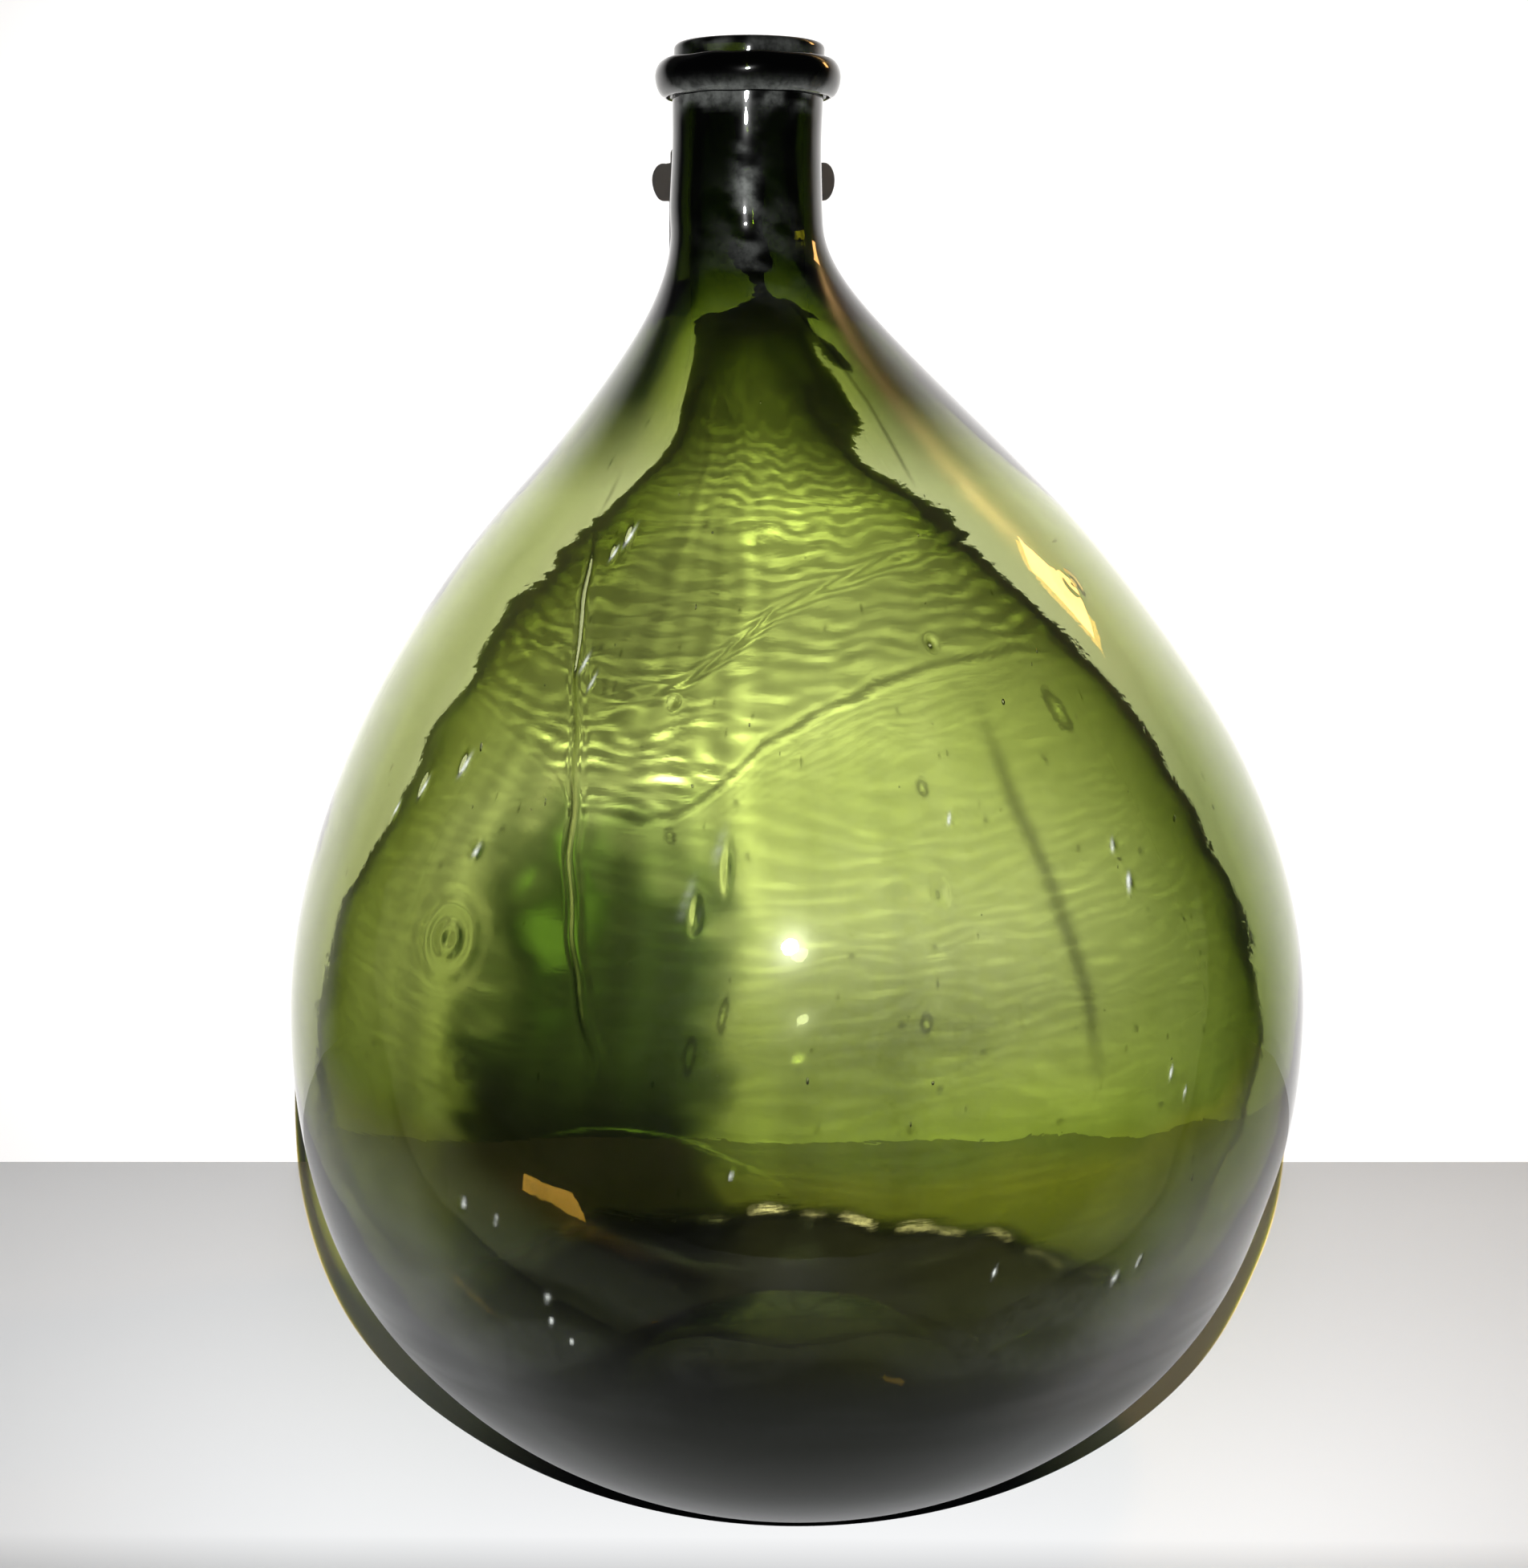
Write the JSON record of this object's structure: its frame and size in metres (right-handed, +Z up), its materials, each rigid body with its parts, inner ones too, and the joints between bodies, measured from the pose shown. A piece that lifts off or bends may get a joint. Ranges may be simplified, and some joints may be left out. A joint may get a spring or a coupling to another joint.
{
  "type": "demijohn",
  "caption": "Large free-blown green glass demijohn, an onion-shaped bottle with an off-centre short neck, a laid-on ring under the rim and a pushed-up base.",
  "frame": {"origin": "on the resting surface, under the middle of the belly", "axes": "+Z up through the belly, and the neck stands off towards -X"},
  "size_m": [0.35, 0.35, 0.485],
  "materials": {
    "body_glass": "smooth free-blown green glass with bubbles, seeds and fine ripples",
    "ring_glass": "smooth fire-polished green glass"
  },
  "bodies": {
    "root": {"glass_body": "body_glass", "lip_ring": "ring_glass"}
  },
  "joints": []
}
